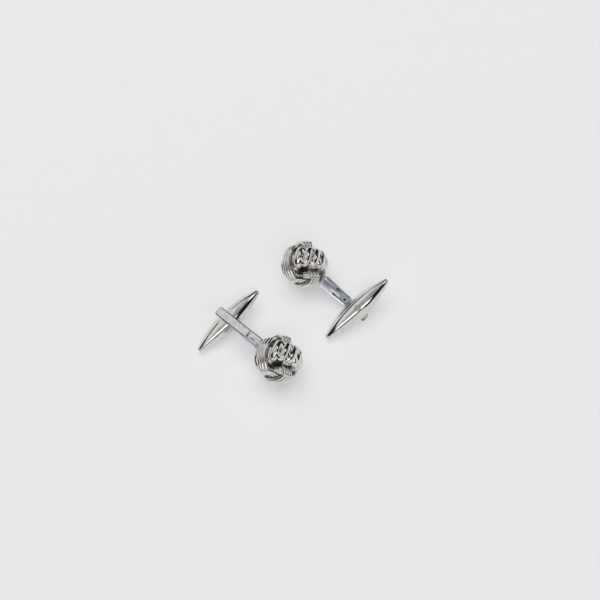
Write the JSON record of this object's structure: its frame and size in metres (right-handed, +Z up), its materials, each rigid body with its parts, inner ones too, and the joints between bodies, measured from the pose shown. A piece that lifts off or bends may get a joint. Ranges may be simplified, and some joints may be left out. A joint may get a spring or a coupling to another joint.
{
  "type": "cufflink pair",
  "caption": "Woven knot cufflinks with torpedo toggles that swivel on the ends of spring-backed posts.",
  "frame": {"origin": "on the table, under the middle of the pair's bounding box", "axes": "+X along both posts, +Y along the toggles when they lie crosswise, +Z up from the table"},
  "size_m": [0.027, 0.0421, 0.0115],
  "materials": {
    "rope_metal": "polished silver-coloured twisted wire",
    "band_metal": "polished silver-coloured round wire",
    "knot_inside": "dark, unpolished",
    "post_metal": "polished flat strip with drawn edges",
    "spring_metal": "satin spring strip",
    "toggle_metal": "mirror polish with fine rubbing marks",
    "pin_metal": "polished rivet"
  },
  "bodies": {
    "near_link": {"near_knot_core": "knot_inside", "near_rope_a": "rope_metal", "near_rope_b": "rope_metal", "near_band_one": "band_metal", "near_band_two": "band_metal", "near_seat": "post_metal", "near_tang": "post_metal", "near_post": "post_metal", "near_leaf_spring": "spring_metal", "near_eyelet": "pin_metal", "near_pivot_pin": "pin_metal"},
    "far_link": {"far_knot_core": "knot_inside", "far_rope_a": "rope_metal", "far_rope_b": "rope_metal", "far_band_one": "band_metal", "far_band_two": "band_metal", "far_seat": "post_metal", "far_tang": "post_metal", "far_post": "post_metal", "far_leaf_spring": "spring_metal", "far_eyelet": "pin_metal", "far_pivot_pin": "pin_metal"},
    "near_toggle": {"near_toggle": "toggle_metal"},
    "far_toggle": {"far_toggle": "toggle_metal"}
  },
  "joints": [
    {"name": "near_toggle_swing", "type": "hinge", "parent": "near_link", "child": "near_toggle", "pos_m": [-0.01042, -0.01131, 0.00451], "axis": [-0.0791, -0.1583, 0.9842], "range_deg": [0, 92.4]},
    {"name": "far_toggle_swing", "type": "hinge", "parent": "far_link", "child": "far_toggle", "pos_m": [0.01049, 0.01176, 0.00204], "axis": [-0.2264, 0.2755, -0.9342], "range_deg": [0, 84.6]},
    {"name": "far_link_lift", "type": "slide", "parent": "near_link", "child": "far_link", "axis": [0, 0, 1], "range_m": [0, 0.03]}
  ]
}
